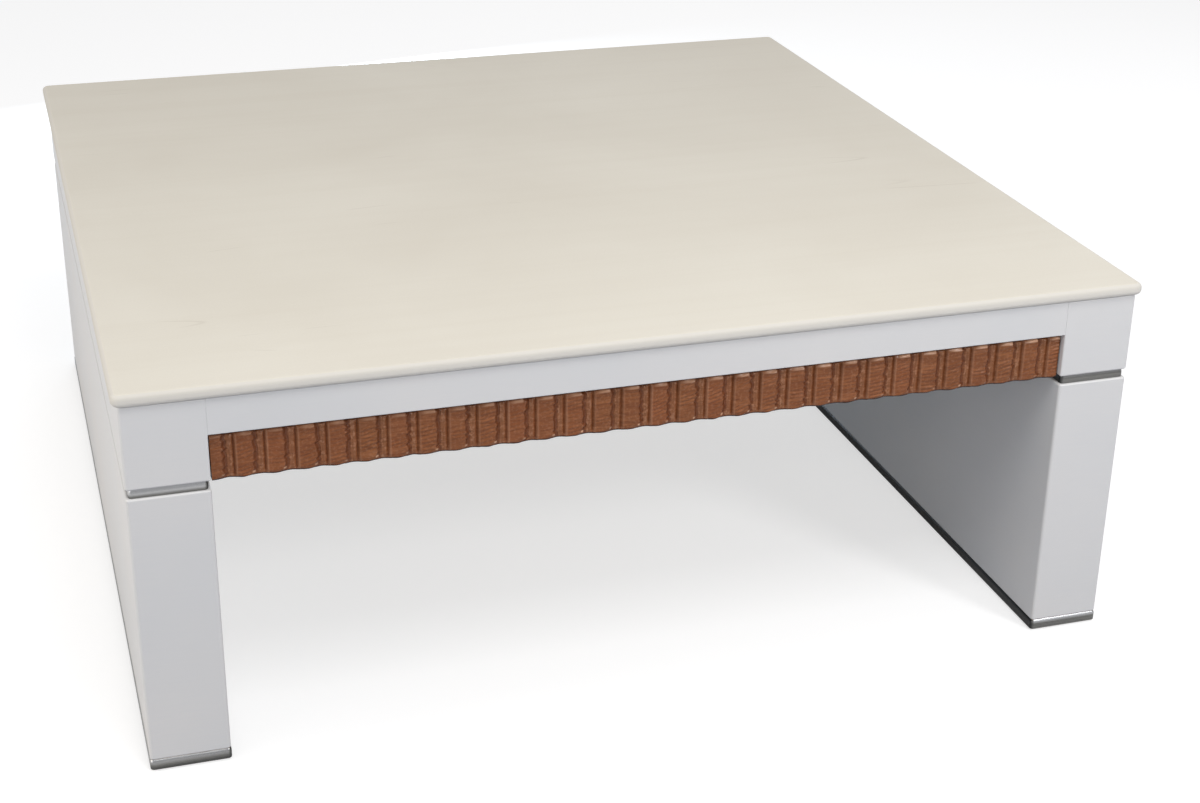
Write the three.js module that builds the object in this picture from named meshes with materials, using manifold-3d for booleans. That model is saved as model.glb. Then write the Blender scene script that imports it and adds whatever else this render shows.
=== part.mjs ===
// A low square coffee table: a thin stone slab on two full-depth panel legs, with a metal reveal line
// near the top of each leg, a metal plinth under it, and a ribbed wooden strip under each apron rail.
// Millimetres, +Z up. The origin is the middle of the footprint on the floor, and the front faces -Y.
import * as THREE from "three";
import { mergeVertices } from "three/addons/utils/BufferGeometryUtils.js";
import Module from "manifold-3d";

const wasm = await Module();
wasm.setup();

// Stone slab
const slabWidth = 1067;
const slabDepth = 1067;
const slabThickness = 12.8;
const slabOverhang = 5.5;
const slabCorner = 9;
const slabNose = 5.5;

// Bedding tape between the slab and the frame
const tapeThickness = 0.4;
const tapeWidth = 12;
const tapeSetback = 6;

// Headers: open-topped troughs that lie on the legs, as wide as the legs
const panelWidth = 80;
const headerHeight = 86;
const headerWall = 16;
const headerFloor = 18;
const edgeRound = 2;
const cornerRound = 3.5;

// Reveal line between each header and its leg: a metal hoop round a spacer board
const revealHeight = 9.5;
const revealSetback = 2.5;
const revealWall = 1.2;
const revealCorner = 4;

// Hollow panel legs with a board let into each end and ribs between the skins
const legHeight = 290.5;
const legWall = 16;
const legBoard = 22;
const legRib = 16;
const legRibCount = 2;

// Plinth under each leg: a metal hoop round a board
const footHeight = 11.5;
const footProud = 0.5;
const footWall = 1.5;
const footRound = 1.5;
const footCorner = 4;
const hoopClearance = 0.3;

// Felt glides
const glideHeight = 1.5;
const glideRadius = 14;
const glideInset = 70;

// Apron rails between the headers, flush with their faces
const railHeight = 38;
const railThickness = 20;
const railRound = 1;

// Ribbed strips under the rails
const stripHeight = 47.2;
const stripGap = 4;
const stripSetback = 6;
const stripEndGap = 1.5;
const ribPitch = 29.56;
const ribDepth = 5;
const ribTopRound = 3;
const ribFootRound = 1.8;
const ribLeastColumn = 0.9;

// One rib from groove to groove: places along the pitch, and heights over the deepest point
const ribRunShares = [0, 0.03, 0.09, 0.36, 0.56, 0.635, 0.7, 0.76, 0.87, 0.96];
const ribRiseShares = [0, 0.6, 0.9, 1, 0.95, 0.85, 0.35, 0.25, 0.48, 0.28];
const ribCrestShare = 0.36;

// Boards behind the rails and strips
const apronThickness = 18;

// Deck under the slab, its cleats and its cross rails
const deckThickness = 18;
const deckClearance = 0.5;
const cleatWidth = 20;
const crossThickness = 18;
const crossHeight = 50;
const crossCount = 2;

// Steel angles in the corners of the apron
const bracketArm = 40;
const bracketHeight = 36;
const bracketThickness = 3;
const bracketHoleRadius = 2.6;

// Bolts through header floor, spacer board and leg board, with a tee nut under each
const boltCount = 3;
const boltInset = 128;
const boltRadius = 4;
const boltClearance = 0.4;
const boltTail = 3;
const boltHeadAcross = 13;
const boltHeadHeight = 6;
const boltFlangeRadius = 9;
const boltFlangeThickness = 2;
const nutBarrelRadius = 5.6;
const nutBarrelShare = 0.8;
const nutFlangeRadius = 12.5;
const nutFlangeThickness = 1.6;

// How far a cutting body runs past the faces that it cuts
const cutOverrun = 2;

// Faces on round shapes
const noseFaces = 4;
const cornerFaces = 2;
const edgeFaces = 2;
const roundFaces = 12;
const hexFaces = 6;

// Derived plan sizes
const frameWidth = slabWidth - 2 * slabOverhang;
const frameDepth = slabDepth - 2 * slabOverhang;
const panelCentre = (frameWidth - panelWidth) / 2;
const innerWidth = frameWidth - 2 * panelWidth;
const apronFace = frameDepth / 2 - railThickness;
const apronBack = apronFace - apronThickness;

// Derived levels, from the floor up
const footBase = glideHeight;
const legBase = footBase + footHeight;
const legTop = legBase + legHeight;
const headerBase = legTop + revealHeight;
const frameTop = headerBase + headerHeight;
const slabBase = frameTop + tapeThickness;
const deckBase = frameTop - deckThickness;
const railBase = frameTop - railHeight;
const stripTop = railBase - stripGap;
const stripBase = stripTop - stripHeight;

const finishes = {
  stone: { color: 0xdcd7c9, roughness: 0.35, metalness: 0 },
  lacquer: { color: 0xd2d1cf, roughness: 0.3, metalness: 0 },
  steel: { color: 0xa9a8a4, roughness: 0.28, metalness: 1 },
  ribbed: { color: 0x774c36, roughness: 0.42, metalness: 0 },
  board: { color: 0xb99a6e, roughness: 0.75, metalness: 0 },
  zinc: { color: 0xbfc2c4, roughness: 0.4, metalness: 1 },
  tape: { color: 0x2f3032, roughness: 0.9, metalness: 0 },
  felt: { color: 0x5b544c, roughness: 1, metalness: 0 },
};

const table = new THREE.Group();
table.name = "coffee_table";

function place(name, geometry, finish, x, y, z, turn = 0) {
  const mesh = new THREE.Mesh(geometry, new THREE.MeshStandardMaterial(finishes[finish]));
  mesh.name = name;
  mesh.position.set(x, y, z);
  mesh.rotation.z = turn;
  table.add(mesh);
  return mesh;
}

// Closed solids for cutting and joining
function toSolid(geometry) {
  const plain = geometry.index ? geometry.toNonIndexed() : geometry.clone();
  plain.deleteAttribute("normal");
  plain.deleteAttribute("uv");
  const merged = mergeVertices(plain);
  const mesh = new wasm.Mesh({
    numProp: 3,
    vertProperties: new Float32Array(merged.attributes.position.array),
    triVerts: new Uint32Array(merged.index.array),
  });
  return new wasm.Manifold(mesh);
}

function toGeometry(solid) {
  const mesh = solid.getMesh();
  const geometry = new THREE.BufferGeometry();
  geometry.setAttribute("position", new THREE.BufferAttribute(new Float32Array(mesh.vertProperties), 3));
  geometry.setIndex(new THREE.BufferAttribute(new Uint32Array(mesh.triVerts), 1));
  geometry.computeVertexNormals();
  return geometry;
}

function cut(body, tools) {
  const solid = tools.reduce((left, tool) => left.subtract(toSolid(tool)), toSolid(body));
  return toGeometry(solid);
}

// A rectangle with rounded corners, centred on the origin
function roundedRectangle(width, depth, radius) {
  const x = width / 2 - radius;
  const y = depth / 2 - radius;
  const outline = new THREE.Shape();
  outline.absarc(x, y, radius, 0, Math.PI / 2);
  outline.absarc(-x, y, radius, Math.PI / 2, Math.PI);
  outline.absarc(-x, -y, radius, Math.PI, Math.PI * 3 / 2);
  outline.absarc(x, -y, radius, Math.PI * 3 / 2, Math.PI * 2);
  return outline;
}

// A rectangle centred on the origin whose corners are rounded at -X and square at +X
function halfRoundedRectangle(width, depth, radius) {
  const x = width / 2;
  const y = depth / 2;
  const outline = new THREE.Shape();
  outline.moveTo(x, -y);
  outline.lineTo(x, y);
  outline.absarc(radius - x, y - radius, radius, Math.PI / 2, Math.PI);
  outline.absarc(radius - x, radius - y, radius, Math.PI, Math.PI * 3 / 2);
  return outline;
}

// A block on z = 0 whose top and bottom edges are rounded out from an outline that lies inside them
function easedExtrusion(outline, height, edge, faces) {
  const geometry = new THREE.ExtrudeGeometry(outline, {
    depth: height - 2 * edge,
    bevelEnabled: true,
    bevelThickness: edge,
    bevelSize: edge,
    bevelSegments: faces,
    curveSegments: cornerFaces,
  });
  geometry.translate(0, 0, edge);
  return geometry;
}

// A block on z = 0 with rounded corners in plan and rounded top and bottom edges
function easedBlock(width, depth, height, corner, edge, faces) {
  const outline = roundedRectangle(width - 2 * edge, depth - 2 * edge, corner - edge);
  return easedExtrusion(outline, height, edge, faces);
}

function box(width, depth, height) {
  const geometry = new THREE.BoxGeometry(width, depth, height);
  geometry.translate(0, 0, height / 2);
  return geometry;
}

// A box that cuts from below z = low to above z = high
function cutter(width, depth, low, high) {
  return box(width, depth, high - low).translate(0, 0, low);
}

function cylinder(radius, height, faces = roundFaces) {
  const geometry = new THREE.CylinderGeometry(radius, radius, height, faces);
  geometry.rotateX(Math.PI / 2);
  geometry.translate(0, 0, height / 2);
  return geometry;
}

// Places of the bolts along a header
function boltPlaces() {
  const run = frameDepth - 2 * boltInset;
  return Array.from({ length: boltCount }, (_, i) => (i / (boltCount - 1) - 1 / 2) * run);
}

// A flat board with the row of bolt holes
function drilledBoard(width, depth, height, corner, holeRadius) {
  const outline = roundedRectangle(width, depth, corner);
  boltPlaces().forEach((y) => {
    const hole = new THREE.Path();
    hole.absarc(0, y, holeRadius, 0, Math.PI * 2, true);
    outline.holes.push(hole);
  });
  return new THREE.ExtrudeGeometry(outline, {
    depth: height,
    bevelEnabled: false,
    curveSegments: roundFaces / 2,
  });
}

function slab() {
  return easedBlock(slabWidth, slabDepth, slabThickness, slabCorner, slabNose, noseFaces);
}

// The header's trough, with bolt holes through its floor. Its inner side is at +X, with square corners
// that the rails meet in a hairline joint.
function header() {
  const eased = 2 * edgeRound;
  const outline = halfRoundedRectangle(panelWidth - eased, frameDepth - eased, cornerRound - edgeRound);
  const outer = easedExtrusion(outline, headerHeight, edgeRound, edgeFaces);
  const hollowWidth = panelWidth - 2 * headerWall;
  const hollowDepth = frameDepth - 2 * headerWall;
  const hollow = cutter(hollowWidth, hollowDepth, headerFloor, headerHeight + cutOverrun);
  const holes = boltPlaces().map((y) => {
    const hole = cylinder(boltRadius + boltClearance, headerFloor + 2 * cutOverrun);
    return hole.translate(0, y, -cutOverrun);
  });
  return cut(outer, [hollow, ...holes]);
}

function legShell() {
  const outer = easedBlock(panelWidth, frameDepth, legHeight, cornerRound, edgeRound, edgeFaces);
  const hollowWidth = panelWidth - 2 * legWall;
  const hollowDepth = frameDepth - 2 * legWall;
  return cut(outer, [cutter(hollowWidth, hollowDepth, -cutOverrun, legHeight + cutOverrun)]);
}

// A metal hoop bent round a board
function revealHoop() {
  const width = panelWidth - 2 * revealSetback;
  const depth = frameDepth - 2 * revealSetback;
  const outline = roundedRectangle(width, depth, revealCorner);
  const boreWidth = width - 2 * revealWall;
  const boreDepth = depth - 2 * revealWall;
  outline.holes.push(roundedRectangle(boreWidth, boreDepth, revealCorner - revealWall));
  return new THREE.ExtrudeGeometry(outline, {
    depth: revealHeight,
    bevelEnabled: false,
    curveSegments: cornerFaces,
  });
}

// The board that the reveal hoop is bent round
function revealSpacer() {
  const setback = revealSetback + revealWall + hoopClearance;
  const corner = revealCorner - revealWall - hoopClearance;
  const width = panelWidth - 2 * setback;
  const depth = frameDepth - 2 * setback;
  return drilledBoard(width, depth, revealHeight, corner, boltRadius + boltClearance);
}

function footHoop() {
  const width = panelWidth + 2 * footProud;
  const depth = frameDepth + 2 * footProud;
  const outer = easedBlock(width, depth, footHeight, footCorner, footRound, edgeFaces);
  const hollowWidth = width - 2 * footWall;
  const hollowDepth = depth - 2 * footWall;
  return cut(outer, [cutter(hollowWidth, hollowDepth, -cutOverrun, footHeight + cutOverrun)]);
}

// A rail along X whose two outer long edges are rounded; its outer face looks towards -Y
function rail() {
  const section = new THREE.Shape();
  section.moveTo(railThickness, 0);
  section.lineTo(railThickness, railHeight);
  section.lineTo(railRound, railHeight);
  section.absarc(railRound, railHeight - railRound, railRound, Math.PI / 2, Math.PI);
  section.absarc(railRound, railRound, railRound, Math.PI, Math.PI * 3 / 2);
  const geometry = new THREE.ExtrudeGeometry(section, {
    depth: innerWidth,
    bevelEnabled: false,
    curveSegments: edgeFaces,
  });
  geometry.rotateX(Math.PI / 2);
  geometry.rotateZ(Math.PI / 2);
  geometry.translate(-innerWidth / 2, -frameDepth / 2, 0);
  return geometry;
}

// Columns of the ribbed face: places along the strip and heights over the deepest groove
function ribColumns(length) {
  const half = length / 2;
  const reach = Math.ceil(half / ribPitch) + 1;
  const places = [];
  for (let rib = -reach; rib <= reach; rib += 1) {
    ribRunShares.forEach((run, i) => {
      places.push({ x: (rib + run - ribCrestShare) * ribPitch, rise: ribRiseShares[i] * ribDepth });
    });
  }
  const riseAt = (x) => {
    const after = places.findIndex((place) => place.x >= x);
    const [a, b] = [places[after - 1], places[after]];
    return a.rise + (b.rise - a.rise) * (x - a.x) / (b.x - a.x);
  };
  const inside = places.filter((place) => Math.abs(place.x) < half - ribLeastColumn);
  return [{ x: -half, rise: riseAt(-half) }, ...inside, { x: half, rise: riseAt(half) }];
}

// The ribbed strip: its section, with eased front edges, is carried from column to column.
// Its back is at y = 0 and its ribs look towards -Y.
function ribbedStrip() {
  const length = innerWidth - 2 * stripEndGap;
  const body = railThickness - stripSetback - ribDepth;
  const columns = ribColumns(length);
  const positions = [];
  columns.forEach(({ x, rise }) => {
    const face = -(body + rise);
    positions.push(x, 0, 0, x, face + ribFootRound, 0, x, face, ribFootRound);
    positions.push(x, face, stripHeight - ribTopRound, x, face + ribTopRound, stripHeight);
    positions.push(x, 0, stripHeight);
  });
  const corners = 6;
  const index = [];
  for (let column = 0; column < columns.length - 1; column += 1) {
    for (let corner = 0; corner < corners; corner += 1) {
      const a = column * corners + corner;
      const b = column * corners + (corner + 1) % corners;
      index.push(a, b + corners, b, a, a + corners, b + corners);
    }
  }
  const last = (columns.length - 1) * corners;
  for (let corner = 1; corner < corners - 1; corner += 1) {
    index.push(0, corner, corner + 1);
    index.push(last, last + corner + 1, last + corner);
  }
  const geometry = new THREE.BufferGeometry();
  geometry.setAttribute("position", new THREE.Float32BufferAttribute(positions, 3));
  geometry.setIndex(index);
  geometry.computeVertexNormals();
  return geometry;
}

// A steel angle with two screw holes in each arm; its arms run along +X and +Y from the origin
function cornerBracket() {
  const section = new THREE.Shape();
  section.moveTo(0, 0);
  section.lineTo(bracketArm, 0);
  section.lineTo(bracketArm, bracketThickness);
  section.lineTo(bracketThickness, bracketThickness);
  section.lineTo(bracketThickness, bracketArm);
  section.lineTo(0, bracketArm);
  const angle = new THREE.ExtrudeGeometry(section, { depth: bracketHeight, bevelEnabled: false });
  const reach = bracketThickness + 2 * cutOverrun;
  const run = (bracketArm + bracketThickness) / 2;
  const holes = [];
  [bracketHeight / 4, bracketHeight * 3 / 4].forEach((z) => {
    const alongY = cylinder(bracketHoleRadius, reach).rotateX(-Math.PI / 2);
    holes.push(alongY.translate(run, -cutOverrun, z));
    const alongX = cylinder(bracketHoleRadius, reach).rotateY(Math.PI / 2);
    holes.push(alongX.translate(-cutOverrun, run, z));
  });
  return cut(angle, holes);
}

// A flanged hexagon bolt; z = 0 is the seat under its flange
function bolt() {
  const grip = headerFloor + revealHeight + legBoard + nutFlangeThickness + boltTail;
  const stem = new THREE.LatheGeometry([
    new THREE.Vector2(0, -grip),
    new THREE.Vector2(boltRadius, -grip),
    new THREE.Vector2(boltRadius, 0),
    new THREE.Vector2(boltFlangeRadius, 0),
    new THREE.Vector2(boltFlangeRadius, boltFlangeThickness),
    new THREE.Vector2(0, boltFlangeThickness),
  ], roundFaces);
  stem.rotateX(Math.PI / 2);
  const head = cylinder(boltHeadAcross / Math.sqrt(3), boltHeadHeight, hexFaces);
  return toGeometry(toSolid(stem).add(toSolid(head)));
}

// A tee nut, barrel up; z = 0 is the seat on top of its flange
function teeNut() {
  const bore = boltRadius + boltClearance;
  const barrel = legBoard * nutBarrelShare;
  const ring = new THREE.LatheGeometry([
    new THREE.Vector2(bore, -nutFlangeThickness),
    new THREE.Vector2(nutFlangeRadius, -nutFlangeThickness),
    new THREE.Vector2(nutFlangeRadius, 0),
    new THREE.Vector2(nutBarrelRadius, 0),
    new THREE.Vector2(nutBarrelRadius, barrel),
    new THREE.Vector2(bore, barrel),
    new THREE.Vector2(bore, -nutFlangeThickness),
  ], roundFaces);
  ring.rotateX(Math.PI / 2);
  return ring;
}

// The slab and what beds it
place("stone_top", slab(), "stone", 0, 0, slabBase);
const sideTape = box(tapeWidth, frameDepth - 2 * headerWall, tapeThickness);
const railTape = box(innerWidth - 2 * tapeSetback, tapeWidth, tapeThickness);
const tapeX = (frameWidth - headerWall) / 2;
const tapeY = (frameDepth - railThickness) / 2;
place("stone_tape_left", sideTape, "tape", -tapeX, 0, frameTop);
place("stone_tape_right", sideTape, "tape", tapeX, 0, frameTop);
place("stone_tape_front", railTape, "tape", 0, -tapeY, frameTop);
place("stone_tape_back", railTape, "tape", 0, tapeY, frameTop);
const deckWidth = innerWidth - 2 * deckClearance;
const deckDepth = 2 * (apronFace - deckClearance);
const deckTape = box(tapeWidth, deckDepth - 2 * tapeSetback, tapeThickness);
place("stone_tape_middle", deckTape, "tape", 0, 0, frameTop);
place("deck_panel", box(deckWidth, deckDepth, deckThickness), "board", 0, 0, deckBase);

// Each side: header, turned half round on the right, reveal line, leg and plinth
const sides = [["left", -1, 0], ["right", 1, Math.PI]];
const hollowWidth = panelWidth - 2 * legWall;
const hollowDepth = frameDepth - 2 * legWall;
sides.forEach(([side, sign, turn]) => {
  const x = sign * panelCentre;
  place(`header_${side}`, header(), "lacquer", x, 0, headerBase, turn);

  place(`reveal_hoop_${side}`, revealHoop(), "steel", x, 0, legTop);
  place(`reveal_spacer_${side}`, revealSpacer(), "board", x, 0, legTop);

  place(`leg_shell_${side}`, legShell(), "lacquer", x, 0, legBase);
  const nutHole = nutBarrelRadius + boltClearance;
  const topBoard = drilledBoard(hollowWidth, hollowDepth, legBoard, boltClearance, nutHole);
  place(`leg_top_board_${side}`, topBoard, "board", x, 0, legTop - legBoard);
  place(`leg_base_board_${side}`, box(hollowWidth, hollowDepth, legBoard), "board", x, 0, legBase);
  const ribSpacing = hollowDepth / (legRibCount + 1);
  for (let i = 1; i <= legRibCount; i += 1) {
    const rib = box(hollowWidth, legRib, legHeight - 2 * legBoard);
    place(`leg_rib_${side}_${i}`, rib, "board", x, i * ribSpacing - hollowDepth / 2, legBase + legBoard);
  }

  const footGap = footWall + hoopClearance - footProud;
  const footBoard = box(panelWidth - 2 * footGap, frameDepth - 2 * footGap, footHeight);
  place(`foot_hoop_${side}`, footHoop(), "steel", x, 0, footBase);
  place(`foot_board_${side}`, footBoard, "board", x, 0, footBase);
  [["front", -1], ["back", 1]].forEach(([end, way]) => {
    const y = way * (frameDepth / 2 - glideInset);
    place(`glide_${side}_${end}`, cylinder(glideRadius, glideHeight), "felt", x, y, 0);
  });

  boltPlaces().forEach((y, i) => {
    place(`leg_bolt_${side}_${i + 1}`, bolt(), "zinc", x, y, headerBase + headerFloor);
    place(`tee_nut_${side}_${i + 1}`, teeNut(), "zinc", x, y, legTop - legBoard);
  });

  const cleat = box(cleatWidth, 2 * apronBack, cleatWidth);
  const cleatX = sign * (innerWidth - cleatWidth) / 2;
  place(`deck_cleat_${side}`, cleat, "board", cleatX, 0, deckBase - cleatWidth);
});

// Front and back aprons, the back one turned half round
const apronHeight = deckBase - headerBase;
[["front", 0], ["back", Math.PI]].forEach(([end, turn]) => {
  const sign = Math.cos(turn);
  place(`rail_${end}`, rail(), "lacquer", 0, 0, railBase, turn);
  place(`ribbed_strip_${end}`, ribbedStrip(), "ribbed", 0, -sign * apronFace, stripBase, turn);
  const board = box(innerWidth, apronThickness, apronHeight);
  place(`apron_board_${end}`, board, "board", 0, -sign * (apronFace + apronBack) / 2, headerBase);
});

// Cross rails under the deck
const crossSpacing = innerWidth / (crossCount + 1);
for (let i = 1; i <= crossCount; i += 1) {
  const cross = box(crossThickness, 2 * apronBack, crossHeight);
  place(`cross_rail_${i}`, cross, "board", i * crossSpacing - innerWidth / 2, 0, deckBase - crossHeight);
}

// Steel angles, turned to face into their corners
const corners = [
  ["front_left", 0, -1, -1],
  ["front_right", 1, 1, -1],
  ["back_right", 2, 1, 1],
  ["back_left", 3, -1, 1],
];
const bracketBase = headerBase + (apronHeight - cleatWidth - bracketHeight) / 2;
corners.forEach(([corner, quarter, signX, signY]) => {
  const turn = quarter * Math.PI / 2;
  const x = signX * innerWidth / 2;
  place(`corner_bracket_${corner}`, cornerBracket(), "zinc", x, signY * apronBack, bracketBase, turn);
});

export default table;
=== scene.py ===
"""Dresses the coffee table: honed stone, satin lacquer, brushed metal and a ribbed strip of wood."""

import math

import bpy
import numpy as np
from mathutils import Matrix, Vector


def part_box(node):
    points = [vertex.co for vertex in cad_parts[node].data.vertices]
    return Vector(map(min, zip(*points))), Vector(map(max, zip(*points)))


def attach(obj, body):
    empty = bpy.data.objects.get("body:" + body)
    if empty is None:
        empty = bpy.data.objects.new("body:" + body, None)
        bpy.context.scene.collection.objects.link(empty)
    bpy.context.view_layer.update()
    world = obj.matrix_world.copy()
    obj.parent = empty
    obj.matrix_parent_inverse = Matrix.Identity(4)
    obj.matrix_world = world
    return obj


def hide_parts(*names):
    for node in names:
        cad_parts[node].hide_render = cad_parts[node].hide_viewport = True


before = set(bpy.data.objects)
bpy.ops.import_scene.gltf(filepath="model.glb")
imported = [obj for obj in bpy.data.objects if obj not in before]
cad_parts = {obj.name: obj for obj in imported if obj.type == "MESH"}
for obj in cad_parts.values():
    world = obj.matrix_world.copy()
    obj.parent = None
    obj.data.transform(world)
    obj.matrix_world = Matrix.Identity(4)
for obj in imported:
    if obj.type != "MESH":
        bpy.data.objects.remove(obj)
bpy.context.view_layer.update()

# Lengths are in metres, angles in degrees and the lamps' powers in watts. A divisor is kept off zero by TINY
MM = 0.001
TINY = 1e-6
SIDES = ("left", "right")
ENDS = ("front", "back")

# Rounded edges and corners, and how finely they are stepped
sharpest_corner = 0.05 * MM
ring_steps = 8
nose_reach = 5.5 * MM
nose_steps = 10
slab_corner = 9 * MM
slab_corner_steps = 14
panel_edge = 2 * MM
panel_edge_steps = 6
panel_corner = 3.5 * MM
inner_corner = 2 * MM
joint_corner = 0.4 * MM
joint_fade = 3 * MM
rail_edge = 1 * MM
rail_edge_steps = 4
glide_edge = 0.6 * MM
glide_edge_steps = 5
glide_sides = 48
sharp_edge_angle = 32

# Walls, floors and holes of the headers and legs
header_wall = 16 * MM
header_floor = 18 * MM
leg_wall = 16 * MM
hollow_corner = 1 * MM
bolt_hole_radius = 4.4 * MM
bolt_hole_depth = 3 * header_floor
bolt_hole_sides = 32

# Metal hoops. Levels are pairs of a share of a hoop's height and its painted reflection there, from 0,
# painted shade, over 0.5, brushed, to 1, painted highlight. Left and right differ as the light falls on them
hoop_corner = 4 * MM
hoop_steps = 8
hoop_face_steps = 4
hoop_bevel_power = 1.4
hoop_wall_left = 0.15 * MM
# The painted shade on a hoop's side under the table
hoop_painted_shade = 0.06
reveal_wall = 1.2 * MM
reveal_round = 0.6 * MM
reveal_bevel = 5 * MM
reveal_levels = {
    "left": ((0, 0.4), (0.2, 0.48), (0.42, 0.92), (1, 1)),
    "right": ((0, 0.5), (0.6, 0.5), (1, 0.8)),
}
plinth_wall = 1.5 * MM
plinth_round = 1.2 * MM
plinth_bevel = 2.8 * MM
plinth_levels = {
    "left": ((0, 0.18), (0.25, 0.3), (0.6, 0.66), (1, 1)),
    "right": ((0, 0.5), (0.7, 0.5), (0.8, 1), (1, 1)),
}

# Ribbed strip: the profile of one rib from groove to groove, as places along the pitch and heights over
# the deepest point. The shares below are places and widths along the pitch
rib_pitch = 29.56 * MM
rib_depth = 5 * MM
rib_top_round = 3 * MM
rib_foot_round = 1.8 * MM
rib_end_steps = 6
rib_least_tilt = 12
rib_most_tilt = 48
rib_crest_share = 0.36
rib_run_shares = (0, 0.025, 0.06, 0.1, 0.16, 0.36, 0.56, 0.61, 0.66, 0.71, 0.75, 0.79, 0.83, 0.88, 0.93, 0.97)
rib_rise_shares = (0.27, 0.5, 0.8, 0.92, 0.97, 1, 0.97, 0.88, 0.6, 0.34, 0.32, 0.47, 0.42, 0.53, 0.48, 0.33)
strip_seeds = {"front": 7, "back": 11}

# Ribbed strip: rows and columns of its mesh
rib_row_height = 0.7 * MM
shoulder_end_share = 0.13
shoulder_columns = 12
face_end_share = 0.56
face_columns = 11
flank_columns = 26
column_clearance = 0.2 * MM

# Ribbed strip: parts of a rib
face_shares = (0.06, 0.63)
shoulder_shares = (0, 0.13)
flank_shares = (0.585, 0.78)
bead_shares = (0.75, 0.98)
groove_shares = (0.96, 1.025)
cap_shares = (0.08, 0.6)
glint_shares = (0.55, 0.69)
soft_share = 0.05
face_soft_share = 0.08
groove_soft_share = 0.03
cap_soft_share = 0.02

# Ribbed strip: its form, with the beads' arched tops, the wave of the foot, the tool's chatter and the
# hand's unevenness. Drop, low and depth shares are of the rib's depth
bead_top = 4.5 * MM
bead_drop_share = 0.34
wave_crest_share = 0.31
wave_low_share = 0.34
wave_band = 5 * MM
chatter_pitch = 4.2 * MM
chatter_patch = 2 * chatter_pitch
chatter_lean = 0.2
chatter_lean_spread = 0.5
chatter_depth_share = 0.075
chatter_mean = 0.6
chatter_spread = 0.5
wander_shares = (0.54, 0.82)
wander_reach_share = 0.03
wander_pitch = 2.6 * MM
rib_jitter_share = 0.014
hand_depth_share = 0.026
hand_pitch = 5 * MM

# Ribbed strip: how dark the painted shade lies, and how bright the painted highlights lie on the caps,
# shoulders and flanks' feet, as a least value and a spread from rib to rib
groove_painted_shade = 0.6
flank_painted_shade = 0.75
arch_painted_shade = 0.7
sole_painted_shadow = 2
sole_height = 2.3 * MM
cap_height = 3.5 * MM
cap_growth_share = 0.25
cap_first_share = 0.25
cap_highlight = (0.75, 0.25)
shoulder_highlight = (0.06, 0.16)
glint_highlight = (0.3, 1.1)
glint_height = 4.5 * MM
glint_reach = 1.6 * MM

# Screws: pan heads with a cross recess, through the steel angles
screw_sides = 32
screw_dome_steps = 6
screw_head_radius = 3.6 * MM
screw_head_height = 1.9 * MM
screw_rim_share = 0.35
screw_shank_radius = 1.9 * MM
screw_shank_length = 2.5 * MM
recess_depth = 1.3 * MM
recess_arm = 0.58 * screw_head_radius
recess_slot = 0.16 * screw_head_radius
recess_taper = 0.6
recess_rim_share = 0.97
bracket_thickness = 3 * MM
bracket_screw_shares = (1 / 4, 3 / 4)

# Relief of the materials, and the pitch of the plies
stone_relief = 0.02 * MM
peel_relief = 0.04 * MM
brush_relief = 0.02 * MM
wood_relief = 0.3 * MM
fibre_relief = 0.08 * MM
zinc_relief = 0.02 * MM
foam_relief = 0.1 * MM
felt_relief = 0.2 * MM
ply_pitch = 2.992 * MM

# Floor and world. The floor has a colour for the light that it throws back, and a grey level and a glow for
# the camera and for mirrors
floor_radius = 14
floor_sides = 128
floor_colour = (0.27, 0.29, 0.345, 1)
floor_seen = (0.5, 0.6)
floor_mirrored = (0.74, 0.08)
world_colour = (0.98, 0.98, 1, 1)
world_strength = 0.54

# Lamps: name, place, target, size, power and colour
lamps = (
    ("key", (1.4, -2.4, 1.6), (0.2, -0.3, 0.3), (0.45, 0.45), 26, (1, 1, 1)),
    ("fill", (-2.8, -0.2, 1), (-0.3, -0.2, 0.2), (1.4, 1.4), 28.5, (1, 0.935, 0.83)),
    ("low", (-2.4, -1.6, 0.6), (0, 0, 0.2), (1.2, 0.8), 7.5, (1, 1, 1)),
    ("crown", (0, -1.5, 2.2), (0, -0.3, 0.4), (0.8, 0.8), 17, (1, 1, 1)),
    ("front", (-0.4, -3.1, 2.0), (0, -0.5, 0.3), (0.3, 0.3), 4.8, (1, 0.97, 0.91)),
    ("rear", (1.3, 2.4, 1.4), (0.3, 0, 0.4), (1.2, 0.8), 2.3, (1, 1, 1)),
    ("right", (2.7, 0.5, 0.8), (0.5, 0.1, 0.2), (1.2, 1.2), 6, (1, 1, 1)),
    ("under", (0, 2, 0.2), (0.35, 0.2, 0.2), (0.8, 0.36), 17, (0.7, 0.85, 1)),
)

# Camera, fitted to the photograph, with its lens and its sensor in millimetres
camera_place = (-0.61275, -2.25419, 1.17978)
camera_turn = (65.3354, -0.7216, -17.2696)
camera_lens = 60.6075
sensor_width = 36

scene = bpy.context.scene
scene.view_settings.view_transform = "Standard"


# Node helpers
def add(tree, kind, inputs=None, **settings):
    """A node of one kind; each input is a value or the output of another node."""
    node = tree.nodes.new(kind)
    for key, value in settings.items():
        setattr(node, key, value)
    for key, value in (inputs or {}).items():
        if isinstance(value, bpy.types.NodeSocket):
            tree.links.new(value, node.inputs[key])
        else:
            node.inputs[key].default_value = value
    return node


def srgb(red, green, blue):
    """Linear colour of an 8-bit sRGB one."""
    def linear(level):
        share = level / 255
        return share / 12.92 if share <= 0.04045 else ((share + 0.055) / 1.055) ** 2.4
    return (linear(red), linear(green), linear(blue), 1)


def new_material(name):
    """A material with its tree, its shader and a socket of object coordinates."""
    material = bpy.data.materials.new(name)
    material.use_nodes = True
    tree = material.node_tree
    shader = tree.nodes["Principled BSDF"]
    place = add(tree, "ShaderNodeTexCoord").outputs["Object"]
    return material, tree, shader, place


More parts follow.
